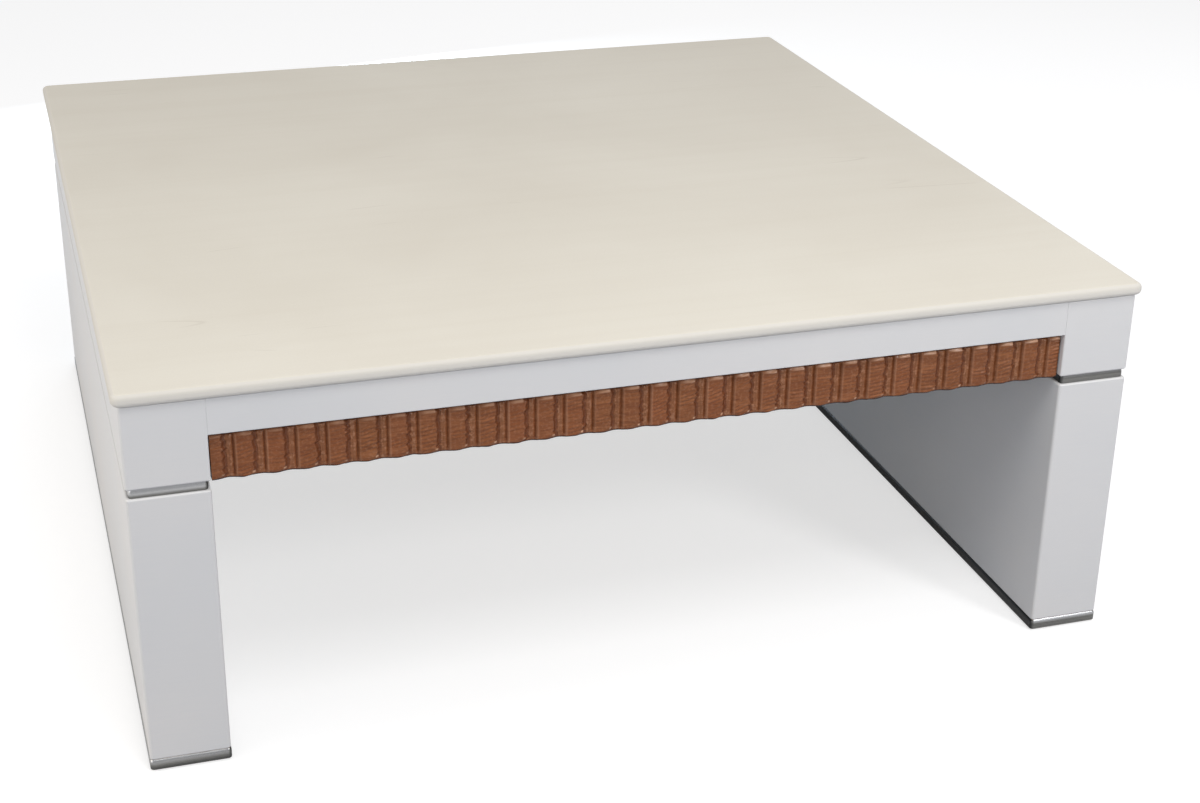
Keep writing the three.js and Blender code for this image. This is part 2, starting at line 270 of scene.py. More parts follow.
def stretched(tree, place, scale):
    """Object coordinates scaled by a vector."""
    return add(tree, "ShaderNodeMapping", {"Vector": place, "Scale": scale}).outputs["Vector"]


def noise(tree, place, scale, detail=3, roughness=0.5, distortion=0):
    """Grey noise of about 0.5."""
    inputs = {"Vector": place, "Scale": scale, "Detail": detail, "Roughness": roughness,
              "Distortion": distortion}
    return add(tree, "ShaderNodeTexNoise", inputs).outputs["Fac"]


def ramp(tree, level, stops):
    """A colour ramp; each stop is a place and a colour."""
    node = add(tree, "ShaderNodeValToRGB", {"Fac": level})
    elements = node.color_ramp.elements
    while len(elements) < len(stops):
        elements.new(1)
    for element, (place, colour) in zip(elements, stops):
        element.position = place
        element.color = colour
    return node.outputs["Color"]


def mix(tree, level, first, second, blend="MIX"):
    """A colour between two colours."""
    node = add(tree, "ShaderNodeMix", data_type="RGBA", blend_type=blend)
    sockets = {"Factor": node.inputs[0], "A": node.inputs[6], "B": node.inputs[7]}
    for key, value in (("Factor", level), ("A", first), ("B", second)):
        if isinstance(value, bpy.types.NodeSocket):
            tree.links.new(value, sockets[key])
        else:
            sockets[key].default_value = value
    return node.outputs[2]


def spread(tree, level, low, high, start=0.3, end=0.7):
    """Maps a level from start..end to low..high."""
    inputs = {"Value": level, "From Min": start, "From Max": end, "To Min": low, "To Max": high}
    return add(tree, "ShaderNodeMapRange", inputs).outputs["Result"]


def upward(tree):
    """How much a face looks up, from -1 to 1."""
    normal = add(tree, "ShaderNodeNewGeometry").outputs["Normal"]
    return add(tree, "ShaderNodeSeparateXYZ", {0: normal}).outputs["Z"]


def bump(tree, shader, height, depth):
    """Adds relief of a depth to a shader."""
    inputs = {"Height": height, "Distance": depth, "Strength": 1}
    link(tree, shader, "Normal", add(tree, "ShaderNodeBump", inputs).outputs["Normal"])


def link(tree, shader, key, value):
    """Feeds a shader's input from a socket."""
    tree.links.new(value, shader.inputs[key])


# Materials
def stone_material():
    """Cream honed stone with clouds, faint beds along X, a few hairline veins and a greyer nose with painted
    shade above and painted light below.
    """
    material, tree, shader, place = new_material("stone")
    clouds = noise(tree, place, 3.2, detail=5, roughness=0.55, distortion=0.4)
    beds = noise(tree, stretched(tree, place, (1.1, 34, 34)), 1, detail=6, roughness=0.6, distortion=0.3)
    grain = noise(tree, place, 420, detail=2)
    base = ramp(tree, clouds, ((0.3, srgb(215, 209, 196)), (0.7, srgb(221, 216, 204))))
    bedded = mix(tree, spread(tree, beds, 0, 0.2, 0.45, 0.75), base, srgb(208, 200, 185))
    veined = mix(tree, vein_mask(tree, place), bedded, srgb(172, 161, 146))
    grained = mix(tree, spread(tree, grain, 0, 0.12), veined, srgb(206, 199, 185))
    up = upward(tree)
    # The nose gets painted shade on its upper part and painted light at its foot, by how far it looks up
    nose_painted_light = ramp(tree, spread(tree, up, 0, 1, -1, 1), (
        (0.15, srgb(227, 223, 214)), (0.4, srgb(213, 209, 201)), (0.5, srgb(212, 208, 200)),
        (0.7, srgb(203, 199, 190)), (0.93, srgb(209, 205, 197))))
    link(tree, shader, "Base Color", mix(tree, spread(tree, up, 1, 0, 0.9, 0.99), grained, nose_painted_light))
    link(tree, shader, "Roughness", spread(tree, clouds, 0.55, 0.65))
    shader.inputs["Specular IOR Level"].default_value = 0.22
    bump(tree, shader, grain, stone_relief)
    return material


def vein_mask(tree, place):
    """Thin broken lines that wander along X."""
    wander = noise(tree, stretched(tree, place, (1.1, 11, 11)), 1, detail=1, roughness=0.4)
    line = add(tree, "ShaderNodeMath", {0: wander, 1: 0.5}, operation="SUBTRACT").outputs[0]
    distance = add(tree, "ShaderNodeMath", {0: line}, operation="ABSOLUTE").outputs[0]
    thin = spread(tree, distance, 1, 0, 0, 0.004)
    broken = noise(tree, stretched(tree, place, (5, 8, 8)), 1.7, detail=2)
    gate = spread(tree, broken, 0, 0.3, 0.6, 0.68)
    return add(tree, "ShaderNodeMath", {0: thin, 1: gate}, operation="MULTIPLY").outputs[0]


def lacquer_material():
    """Pale cool grey satin lacquer with a slight orange peel."""
    material, tree, shader, place = new_material("lacquer")
    clouds = noise(tree, place, 5, detail=3)
    peel = noise(tree, place, 260, detail=1)
    brush = noise(tree, stretched(tree, place, (30, 30, 700)), 1, detail=2)
    base = ramp(tree, clouds, ((0.3, srgb(209, 209, 209)), (0.7, srgb(215, 213, 211))))
    tinted = mix(tree, spread(tree, brush, 0, 0.15), base, srgb(203, 204, 207))
    link(tree, shader, "Base Color", tinted)
    link(tree, shader, "Roughness", spread(tree, clouds, 0.33, 0.42))
    shader.inputs["Specular IOR Level"].default_value = 0.45
    bump(tree, shader, peel, peel_relief)
    return material


def steel_material():
    """Grey brushed metal, brushed along the hoops, with painted highlights along their bevels and painted
    shade lower down and under the table.
    """
    material, tree, shader, place = new_material("steel_trim")
    painted_reflection = add(tree, "ShaderNodeAttribute", attribute_name="painted_reflection").outputs["Fac"]
    brush = noise(tree, stretched(tree, place, (5, 5, 2600)), 1, detail=3, roughness=0.7)
    clouds = noise(tree, place, 11, detail=3)
    base = ramp(tree, brush, ((0.3, srgb(106, 106, 105)), (0.7, srgb(132, 132, 129))))
    aged = mix(tree, spread(tree, clouds, 0, 0.35), base, srgb(98, 97, 94))
    # Painted shade where the painted reflection is low, and a painted highlight where it is high
    metal_painted_shade = mix(tree, spread(tree, painted_reflection, 0.95, 0, 0, 0.5), aged, srgb(20, 22, 27))
    metal_painted_highlight = mix(tree, spread(tree, painted_reflection, 0, 1, 0.5, 1), metal_painted_shade, srgb(181, 182, 184))
    link(tree, shader, "Base Color", metal_painted_highlight)
    link(tree, shader, "Roughness", spread(tree, brush, 0.24, 0.34))
    shader.inputs["Metallic"].default_value = 1
    bump(tree, shader, brush, brush_relief)
    return material


def ribbed_material():
    """Varnished brown wood with grain along X: painted shade in the grooves, on the flanks, under the beads'
    tops and along the sole, greyer on the beads, painted highlights on the caps, shoulders and flanks' feet,
    and a little different from rib to rib."""
    material, tree, shader, place = new_material("ribbed_wood")
    shade, bead, highlight_paint, tone = [add(tree, "ShaderNodeAttribute", attribute_name=name).outputs["Fac"]
                               for name in ("shade", "bead", "highlight_paint", "tone")]
    grain = noise(tree, stretched(tree, place, (26, 26, 240)), 1, detail=4, roughness=0.6, distortion=0.8)
    clouds = noise(tree, place, 90, detail=4, roughness=0.6)
    pores = noise(tree, stretched(tree, place, (130, 130, 1100)), 1, detail=2)
    specks = noise(tree, place, 330, detail=2)
    wood = ramp(tree, grain, ((0.3, srgb(102, 55, 27)), (0.5, srgb(124, 73, 40)), (0.7, srgb(149, 94, 57))))
    toned = mix(tree, spread(tree, tone, 0, 0.4, 0, 1), wood, srgb(136, 74, 42))
    mottled = mix(tree, spread(tree, clouds, 0, 0.5), toned, srgb(116, 68, 34))
    greyed = mix(tree, spread(tree, bead, 0, 0.35, 0, 1), mottled, srgb(134, 90, 60))
    speckled = mix(tree, spread(tree, specks, 0, 0.45, 0.5, 0.66), greyed, srgb(178, 131, 101))
    spotted = mix(tree, spread(tree, bead, 0.35, 1, 0, 1), mottled, speckled)
    # Painted shade in the grooves, on the flanks and under the beads' tops, and a near-black painted shadow
    # along the sole
    shaded_wood = mix(tree, spread(tree, shade, 0, 0.9, 0, 1), spotted, srgb(88, 44, 22))
    pored = mix(tree, spread(tree, pores, 0, 0.3, 0.52, 0.7), shaded_wood, srgb(84, 46, 26))
    sole_shadowed = mix(tree, spread(tree, shade, 0, 0.95, 1, 2), pored, srgb(30, 16, 11))
    # Painted highlights on the caps, shoulders and flanks' feet
    link(tree, shader, "Base Color", mix(tree, spread(tree, highlight_paint, 0, 0.95, 0, 1), sole_shadowed, srgb(208, 162, 130)))
    link(tree, shader, "Roughness", spread(tree, clouds, 0.36, 0.5))
    shader.inputs["Specular IOR Level"].default_value = 0.1
    shader.inputs["Coat Weight"].default_value = 0.4
    shader.inputs["Coat Roughness"].default_value = 0.26
    rough = mix(tree, spread(tree, bead, 0.2, 0.7, 0, 1), grain, specks)
    bump(tree, shader, rough, wood_relief)
    return material


def board_material():
    """Plywood: a birch face with grain along X, and plies where the edge shows."""
    material, tree, shader, place = new_material("board")
    grain = noise(tree, stretched(tree, place, (6, 60, 60)), 1, detail=6, roughness=0.6, distortion=0.8)
    fibres = noise(tree, stretched(tree, place, (20, 500, 500)), 1, detail=2)
    face = ramp(tree, grain, ((0.3, srgb(186, 154, 112)), (0.7, srgb(212, 184, 143))))
    height = add(tree, "ShaderNodeSeparateXYZ", {0: place}).outputs["Z"]
    ply_turns = {0: height, 1: 2 * math.pi / ply_pitch}
    plies = add(tree, "ShaderNodeMath", ply_turns, operation="MULTIPLY").outputs[0]
    wave = add(tree, "ShaderNodeMath", {0: plies}, operation="SINE").outputs[0]
    level = add(tree, "ShaderNodeMath", {0: upward(tree)}, operation="ABSOLUTE").outputs[0]
    edge = spread(tree, wave, 0, 0.55, -0.2, 0.6)
    banded = mix(tree, edge, face, srgb(150, 116, 78))
    shown = mix(tree, spread(tree, level, 0, 1, 0.3, 0.7), banded, face)
    link(tree, shader, "Base Color", mix(tree, spread(tree, fibres, 0, 0.25), shown, srgb(160, 126, 88)))
    link(tree, shader, "Roughness", spread(tree, grain, 0.6, 0.78))
    bump(tree, shader, fibres, fibre_relief)
    return material


def zinc_material():
    """Zinc-plated steel with a faint spangle."""
    material, tree, shader, place = new_material("zinc_steel")
    spangle = add(tree, "ShaderNodeTexVoronoi", {"Vector": place, "Scale": 380}).outputs["Color"]
    clouds = noise(tree, place, 120, detail=3)
    base = ramp(tree, clouds, ((0.3, srgb(168, 172, 176)), (0.7, srgb(196, 198, 198))))
    link(tree, shader, "Base Color", mix(tree, 0.12, base, spangle, blend="OVERLAY"))
    link(tree, shader, "Roughness", spread(tree, clouds, 0.34, 0.5))
    shader.inputs["Metallic"].default_value = 1
    bump(tree, shader, clouds, zinc_relief)
    return material


def tape_material():
    """Dark closed-cell foam tape."""
    material, tree, shader, place = new_material("foam_tape")
    cells = add(tree, "ShaderNodeTexVoronoi", {"Vector": place, "Scale": 1500}).outputs["Distance"]
    base = ramp(tree, cells, ((0.1, srgb(40, 41, 43)), (0.7, srgb(58, 59, 61))))
    link(tree, shader, "Base Color", base)
    link(tree, shader, "Roughness", spread(tree, cells, 0.8, 0.95, 0, 0.8))
    bump(tree, shader, cells, foam_relief)
    return material


def felt_material():
    """Grey-brown wool felt."""
    material, tree, shader, place = new_material("felt")
    fuzz = noise(tree, place, 1600, detail=4, roughness=0.7, distortion=1.5)
    base = ramp(tree, fuzz, ((0.3, srgb(74, 67, 60)), (0.7, srgb(112, 104, 95))))
    link(tree, shader, "Base Color", base)
    link(tree, shader, "Roughness", spread(tree, fuzz, 0.9, 1))
    shader.inputs["Sheen Weight"].default_value = 0.3
    bump(tree, shader, fuzz, felt_relief)
    return material


materials = {
    "stone": stone_material(),
    "lacquer": lacquer_material(),
    "steel_trim": steel_material(),
    "ribbed_wood": ribbed_material(),
    "board": board_material(),
    "zinc_steel": zinc_material(),
    "foam_tape": tape_material(),
    "felt": felt_material(),
}


# Mesh helpers
def new_piece(name, vertices, faces, slot):
    """An object of the table that rides on its only body."""
    mesh = bpy.data.meshes.new(name)
    mesh.from_pydata([tuple(v) for v in vertices], [], faces)
    mesh.update()
    mesh.polygons.foreach_set("use_smooth", [True] * len(mesh.polygons))
    mesh.set_sharp_from_angle(angle=math.radians(sharp_edge_angle))
    piece = bpy.data.objects.new(name, mesh)
    scene.collection.objects.link(piece)
    mesh.materials.append(materials[slot])
    weighted = piece.modifiers.new("flat_faces_stay_flat", "WEIGHTED_NORMAL")
    weighted.keep_sharp = True
    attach(piece, "root")
    return piece


def smooth_step(level):
    """0 to 1 with soft ends."""
    level = np.clip(level, 0, 1)
    return level ** 2 * (3 - 2 * level)


def ring(low, high, corners, z, inset=0, eased=(1, 1, 1, 1), steps=ring_steps):
    """Points round a rectangle, anticlockwise from above and starting at its front left corner. Corners
    are the radii at front left, front right, back right and back left. Eased says which of the left,
    right, front and back sides the inset moves."""
    left, right, front, back = eased
    x0, x1 = low[0] + inset * left, high[0] - inset * right
    y0, y1 = low[1] + inset * front, high[1] - inset * back
    radii = [max(radius - inset, sharpest_corner) for radius in corners]
    centres = (
        (x0 + radii[0], y0 + radii[0]),
        (x1 - radii[1], y0 + radii[1]),
        (x1 - radii[2], y1 - radii[2]),
        (x0 + radii[3], y1 - radii[3]),
    )
    points = []
    for corner, ((x, y), radius) in enumerate(zip(centres, radii)):
        for step in range(steps + 1):
            angle = math.pi + (corner + step / steps) * math.pi / 2
            points.append((x + radius * math.cos(angle), y + radius * math.sin(angle), z))
    return points


def eased_foot(low, edge, steps):
    """A rounded lower edge, as pairs of an inset and a height."""
    quarter = [math.pi / 2 * step / steps for step in range(steps + 1)]
    return [(edge * (1 - math.sin(a)), low[2] + edge * (1 - math.cos(a))) for a in quarter]


def eased_rings(low, high, corners, edge, steps, eased=(1, 1, 1, 1), corner_steps=ring_steps):
    """Rings from the bottom face's rim over the rounded edges to the top face's rim."""
    below = eased_foot(low, edge, steps)
    above = [(inset, low[2] + high[2] - z) for inset, z in below[::-1]]
    return [ring(low, high, corners, z, inset, eased, corner_steps) for inset, z in below + above]


def bevel(height, least, most, steps):
    """Steps up a bevel that leans back more and more, as distances drawn in at even heights, from an
    angle off the upright to another."""
    levels = np.linspace(0, height, steps + 1)
    tilts = np.radians(np.linspace(least, most, steps + 1))
    rates = (np.tan(tilts[1:]) + np.tan(tilts[:-1])) / 2
    return levels, np.concatenate([[0], np.cumsum(rates * np.diff(levels))])


def loft(rings, closed=False):
    """Vertices and faces of a skin over rings of equal counts, with end faces or closed on itself."""
    count = len(rings[0])
    vertices = [point for points in rings for point in points]
    faces = []
    spans = len(rings) if closed else len(rings) - 1
    for span in range(spans):
        a, b = span * count, (span + 1) % len(rings) * count
        for i in range(count):
            j = (i + 1) % count
            faces.append((a + i, a + j, b + j, b + i))
    if not closed:
        last = (len(rings) - 1) * count
        faces.append(tuple(range(count))[::-1])
        faces.append(tuple(range(last, last + count)))
    return vertices, faces


def inward(low, high, distance):
    """The corners of a box drawn in on its four sides."""
    step = Vector((distance, distance, 0))
    return low + step, high - step


def drill(piece, places, radius, depth):
    """Cuts upright round holes through a piece, each centred on a place, and applies its modifiers."""
    holes = []
    for place in places:
        bpy.ops.mesh.primitive_cylinder_add(vertices=bolt_hole_sides, radius=radius, depth=depth,
                                            location=place)
        holes.append(bpy.context.object)
    for hole in holes:
        boolean = piece.modifiers.new("bolt_hole", "BOOLEAN")
        boolean.object = hole
        boolean.solver = "EXACT"
    # The weighted normals are worked out after the holes
    piece.modifiers.move(0, len(piece.modifiers) - 1)
    graph = bpy.context.evaluated_depsgraph_get()
    drilled = bpy.data.meshes.new_from_object(piece.evaluated_get(graph), preserve_all_data_layers=True,
                                              depsgraph=graph)
    piece.modifiers.clear()
    piece.data = drilled
    for hole in holes:
        bpy.data.objects.remove(hole)


# Slab, headers, legs, hoops and rails
def slab():
    """The stone slab with its full bullnose edge."""
    low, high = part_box("stone_top")
    rings = eased_rings(low, high, [slab_corner] * 4, nose_reach, nose_steps, corner_steps=slab_corner_steps)
    piece = new_piece("stone_slab", *loft(rings), "stone")
    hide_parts("stone_top")


def side_corners(side, outer, inner):
    """Corner radii of a block at one side of the table, for its outer and its inner two corners."""
    return [outer, inner, inner, outer] if side == "left" else [inner, outer, outer, inner]


def header(side):
    """A header: an open-topped trough whose inner corners are rounded below the rails and stay sharp
    where the rails meet it."""
    low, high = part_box(f"header_{side}")
    rail_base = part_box("rail_front")[0].z
    free = side_corners(side, panel_corner, inner_corner)
    joined = side_corners(side, panel_corner, joint_corner)
    foot_count = panel_edge_steps + 1
    rings = eased_rings(low, high, free, panel_edge, panel_edge_steps)[:foot_count]
    rings.append(ring(low, high, free, rail_base - joint_fade))
    rings.append(ring(low, high, joined, rail_base))
    rings += eased_rings(low, high, joined, panel_edge, panel_edge_steps)[foot_count:]
    mouth_low, mouth_high = inward(low, high, header_wall)
    hollow = [hollow_corner] * 4
    rings.append(ring(mouth_low, mouth_high, hollow, high.z))
    rings.append(ring(mouth_low, mouth_high, hollow, low.z + header_floor))
    piece = new_piece(f"header_shell_{side}", *loft(rings), "lacquer")
    bolts = [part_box(f"leg_bolt_{side}_{number}") for number in (1, 2, 3)]
    middles = [(bolt_low + bolt_high) / 2 for bolt_low, bolt_high in bolts]
    drill(piece, [(m.x, m.y, low.z) for m in middles], bolt_hole_radius, bolt_hole_depth)
    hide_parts(f"header_{side}")


def leg(side):
    """A hollow panel leg with soft corners."""
    low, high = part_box(f"leg_shell_{side}")
    rings = eased_rings(low, high, [panel_corner] * 4, panel_edge, panel_edge_steps)
    bore_low, bore_high = inward(low, high, leg_wall)
    bore = [hollow_corner] * 4
    rings.append(ring(bore_low, bore_high, bore, high.z))
    rings.append(ring(bore_low, bore_high, bore, low.z))
    piece = new_piece(f"leg_panel_{side}", *loft(rings, closed=True), "lacquer")
    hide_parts(f"leg_shell_{side}")


def hoop_painted_reflection(rings, low, high, levels, inner_way):
    """The painted reflection at each point of a hoop's rings, lighter or darker by its height, and painted
    shade on the side under the table. The inner way is 1 where that side looks towards +X and -1 where it
    looks towards -X."""
    heights = np.array([points[0][2] for points in rings])
    shares = (heights - low.z) / (high.z - low.z)
    painted_reflection = np.interp(shares, *zip(*levels))[:, None]
    turns = np.concatenate([np.linspace(corner, corner + 1, len(rings[0]) // 4) for corner in range(4)])
    facing_x = -np.cos(turns * math.pi / 2)
    hidden = smooth_step(facing_x * inner_way)[None, :]
    return painted_reflection * (1 - hidden) + hoop_painted_shade * hidden


def hoop(name, node, wall, foot_round, bevel_height, levels):
    """A metal hoop bent round a board, with a rounded foot, a bevel and a painted reflection by levels of its
    height.
    """
    low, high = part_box(node)
    profile = eased_foot(low, foot_round, hoop_steps)
    face_height = high.z - bevel_height - low.z - foot_round
    for step in range(1, hoop_face_steps):
        profile.append((0, low.z + foot_round + face_height * step / hoop_face_steps))
    for step in range(hoop_steps + 1):
        share = step / hoop_steps
        inset = (wall - hoop_wall_left) * share ** hoop_bevel_power
        profile.append((inset, high.z - bevel_height * (1 - share)))
    rings = [ring(low, high, [hoop_corner] * 4, z, inset) for inset, z in profile]
    bore_low, bore_high = inward(low, high, wall)
    bore = [hoop_corner - wall] * 4
    rings.append(ring(bore_low, bore_high, bore, high.z))
    rings.append(ring(bore_low, bore_high, bore, low.z))
    piece = new_piece(name, *loft(rings, closed=True), "steel_trim")
    # Painted highlight and shade by height, and painted shade on the side under the table
    painted_reflection = hoop_painted_reflection(rings, low, high, levels, 1 if node.endswith("left") else -1)
    attribute = piece.data.attributes.new("painted_reflection", "FLOAT", "POINT")
    attribute.data.foreach_set("value", painted_reflection.astype(np.float32).reshape(-1))
    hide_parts(node)


def rail(end):
    """A rail with its two outer long edges rounded."""
    low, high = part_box(f"rail_{end}")
    eased = (0, 0, 1, 0) if end == "front" else (0, 0, 0, 1)
    front, back = (joint_corner, sharpest_corner) if end == "front" else (sharpest_corner, joint_corner)
    rings = eased_rings(low, high, (front, front, back, back), rail_edge, rail_edge_steps, eased)
    piece = new_piece(f"apron_rail_{end}", *loft(rings), "lacquer")
    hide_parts(f"rail_{end}")


# Ribbed strip
def smooth_table(places, runs, rises):
    """A smooth curve through the points of one rib, which repeats from groove to groove."""
    xs = np.array([run - 1 for run in runs] + list(runs) + [run + 1 for run in runs])
    ys = np.array(list(rises) * 3)
    slopes = np.gradient(ys, xs)
    i = np.clip(np.searchsorted(xs, places, side="right") - 1, 0, len(xs) - 2)
    width = xs[i + 1] - xs[i]
    t = (places - xs[i]) / width
    return (
        ys[i] * (2 * t ** 3 - 3 * t ** 2 + 1)
        + slopes[i] * width * (t ** 3 - 2 * t ** 2 + t)
        + ys[i + 1] * (3 * t ** 2 - 2 * t ** 3)
        + slopes[i + 1] * width * (t ** 3 - t ** 2)
    )


def window(places, start, end, soft):
    """1 between start and end, 0 outside, with soft sides."""
    return smooth_step(np.minimum(places - start, end - places) / soft)


def random_field(x, z, x_pitch, z_pitch, random):
    """Smooth random values, spread by about 1 round 0, over a grid of columns and rows. Their knots are a
    pitch apart."""
    s = (x - x.min()) / x_pitch
    t = (z - z.min()) / z_pitch
    knots = random.normal(0, 1, (int(s.max()) + 2, int(t.max()) + 2))
    i, j = s.astype(int)[:, None], t.astype(int)[None, :]
    u, v = smooth_step(s % 1)[:, None], smooth_step(t % 1)[None, :]
    lower = knots[i, j] * (1 - u) + knots[i + 1, j] * u
    upper = knots[i, j + 1] * (1 - u) + knots[i + 1, j + 1] * u
    return lower * (1 - v) + upper * v


def rib_columns(half, random):
    """The columns of a strip: their places along it, their ribs' numbers and their shares of the pitch."""
    reach = math.ceil(half / rib_pitch) + 1
    runs = np.concatenate([
        np.linspace(0, shoulder_end_share, shoulder_columns, endpoint=False),
        np.linspace(shoulder_end_share, face_end_share, face_columns, endpoint=False),
        np.linspace(face_end_share, 1, flank_columns, endpoint=False),
    ])
    ribs = np.repeat(np.arange(2 * reach), len(runs))
    shares = np.tile(runs, 2 * reach)
    jitter = random.uniform(-rib_jitter_share, rib_jitter_share, 2 * reach)
    x = (ribs - reach + shares + jitter[ribs] * np.sin(shares * math.pi) - rib_crest_share) * rib_pitch
    keep = np.flatnonzero(np.abs(x) < half - column_clearance)
    # The outermost columns come once more, right at the strip's ends
    keep = np.concatenate([keep[:1], keep, keep[-1:]])
    x = x[keep]
    x[0], x[-1] = -half, half
    return x, ribs[keep], shares[keep]


def strip_rows(low, high):
    """The rows of a strip from its foot to its top, and how far its rounded foot and its bevelled top
    draw each of them in."""
    count = round((high - low - rib_foot_round - rib_top_round) / rib_row_height)
    face = np.linspace(low + rib_foot_round, high - rib_top_round, count + 1)
    turn = np.linspace(math.pi / 2, 0, rib_end_steps + 1)[:-1]
    foot = low + rib_foot_round * (1 - np.sin(turn))
    levels, drawn = bevel(rib_top_round, rib_least_tilt, rib_most_tilt, rib_end_steps)
    height = np.concatenate([foot, face, high - rib_top_round + levels[1:]])
    return height, np.concatenate([rib_foot_round * (1 - np.cos(turn)), np.zeros(count + 1), drawn[1:]])


def rib_relief(x, rib, share, moved, height, random):
    """Heights over the deepest point, as shares of the rib's depth, for a grid of columns and rows."""
    rows = height[None, :]
    relief = smooth_table(moved, rib_run_shares, rib_rise_shares)

    bead = window(share, *bead_shares, soft_share)[:, None]
    over = 1 - np.clip((height[-1] - rows) / bead_top, 0, 1)
    relief = relief - bead * bead_drop_share * (1 - np.sqrt(1 - over ** 2))

    wave = (1 + wave_low_share + (1 - wave_low_share) * np.cos(2 * math.pi * (share - wave_crest_share))) / 2
    foot = smooth_step(1 - (rows - height[0]) / wave_band)
    relief = relief * (1 - foot) + wave[:, None] * foot

    face = window(share, *face_shares, face_soft_share)[:, None]
    phase = random.uniform(0, 2 * math.pi, rib.max() + 1)[rib][:, None]
    lean = chatter_lean * (1 + random.normal(0, chatter_lean_spread, rib.max() + 1)[rib][:, None])
    slant = (rows - share[:, None] * rib_pitch * lean) / chatter_pitch * 2 * math.pi
    strength = chatter_mean + chatter_spread * random_field(x, height, rib_pitch, chatter_patch, random)
    relief = relief - face * chatter_depth_share * (1 + np.sin(slant + phase) * np.clip(strength, 0, 1))

    uneven = random_field(x, height, hand_pitch, hand_pitch, random)
    return np.clip(relief - hand_depth_share * (1 + uneven), 0, 1)


def rib_painted_shade(column, moved, over_foot, under_top):
    """How dark the painted shade lies, from 0 to 1 in the grooves, on the flanks and under the beads' tops
    and to 2 for the painted shadow at the sole, and where the beads and the sole are."""
    even = 0 * (column + over_foot)
    bead = window(moved, *bead_shares, soft_share)
    # Painted shade in the grooves, on the flanks and under the beads' tops, and a painted shadow along the
    # foot
    groove = window(column, *groove_shares, groove_soft_share)
    groove = groove + window(column + 1, *groove_shares, groove_soft_share)
    flank = window(moved, *flank_shares, soft_share)
    arch = window(under_top, -bead_top, bead_top / 2, bead_top / 3)
    sole = window(over_foot, -sole_height, sole_height, sole_height / 2) + even
    parts = [groove * groove_painted_shade + even, flank * flank_painted_shade, bead * arch * arch_painted_shade, sole_painted_shadow * sole]
    return np.max(parts, axis=0), bead, sole


def rib_painted_highlights(column, over_foot, under_top, position, highlight_draws):
    """How bright the painted highlights lie on the caps, shoulders and flanks' feet. The position runs from 0
    at the first rib to 1 at the last, and the draws are random shares of each rib for the three."""
    shoulder_draw, cap_draw, glint_draw = highlight_draws
    # Painted highlights. On the caps they grow brighter from the first rib to the last
    cap = window(under_top, -cap_height, cap_height, cap_height / 4)
    cap = cap * np.clip((column - cap_shares[0]) / cap_growth_share, 0, 1)
    cap = cap * window(column, *cap_shares, cap_soft_share)
    cap = cap * (cap_first_share + (1 - cap_first_share) * position) * (cap_highlight[0] + cap_highlight[1] * cap_draw)
    shoulder = window(column, *shoulder_shares, soft_share)
    shoulder = shoulder * (shoulder_highlight[0] + shoulder_highlight[1] * shoulder_draw) + 0 * over_foot
    glint = window(column, *glint_shares, soft_share)
    glint = glint * window(over_foot, glint_height - glint_reach, glint_height + glint_reach, glint_reach)
    glint = glint * (glint_highlight[0] + glint_highlight[1] * glint_draw)
    return np.max([cap, shoulder, glint], axis=0)


def rib_tones(rib, share, moved, height, random):
    """Where shade is painted dark, where the beads run, where highlights are painted pale, and each rib's own
    tone.
    """
    over_foot = (height - height[0])[None, :]
    under_top = (height[-1] - height)[None, :]
    column = share[:, None]
    each = random.uniform(0, 1, (3, rib.max() + 1))[:, rib][:, :, None]
    shade, bead, sole = rib_painted_shade(column, moved, over_foot, under_top)
    # Painted highlights, kept off the painted shadow at the sole
    highlight_paint = rib_painted_highlights(column, over_foot, under_top, (rib / rib.max())[:, None], each)
    return {"shade": shade, "bead": bead, "highlight_paint": highlight_paint * (1 - sole), "tone": each[0] + 0 * over_foot}


def ribbed_strip(end):
    """A ribbed strip, carved from end to end. The back one is turned half round and has its own carving."""
    node = f"ribbed_strip_{end}"
    low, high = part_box(node)
    rear, crest = sorted((abs(low.y), abs(high.y)))
    random = np.random.default_rng(strip_seeds[end])
    x, rib, share = rib_columns((high.x - low.x) / 2, random)
    height, drawn = strip_rows(low.z, high.z)
    wander = random_field(rib * wander_pitch, height, wander_pitch, wander_pitch, random)
    flank = window(share, *wander_shares, face_soft_share)[:, None]
    moved = share[:, None] + flank * wander * wander_reach_share
    relief = rib_relief(x, rib, share, moved, height, random)

    reach = crest - (1 - relief) * rib_depth - drawn[None, :]
    reach = np.pad(reach, ((0, 0), (1, 1)), constant_values=rear)
    level = np.concatenate([[low.z], height, [high.z]])
    turn = 1 if end == "front" else -1
    grid = np.stack([np.broadcast_to(x[:, None] * turn, reach.shape), -reach * turn,
                     np.broadcast_to(level[None, :], reach.shape)], axis=-1)
    index = np.arange(reach.size).reshape(reach.shape)
    along, across = index[:-1], index[1:]
    quads = np.stack([along, across, np.roll(across, -1, 1), np.roll(along, -1, 1)], axis=-1)
    faces = quads.reshape(-1, 4).tolist() + [index[0].tolist(), index[-1, ::-1].tolist()]
    piece = new_piece(f"carved_strip_{end}", grid.reshape(-1, 3).tolist(), faces, "ribbed_wood")
    for name, value in rib_tones(rib, share, moved, height, random).items():
        attribute = piece.data.attributes.new(name, "FLOAT", "POINT")
        padded = np.pad(value, ((0, 0), (1, 1)), mode="edge")
        attribute.data.foreach_set("value", padded.astype(np.float32).reshape(-1))
    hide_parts(node)


# Glides and screws
def circle(radius, z, sides):
    """Points round a level circle about the origin."""
    turns = [2 * math.pi * side / sides for side in range(sides)]
    return [(radius * math.cos(a), radius * math.sin(a), z) for a in turns]


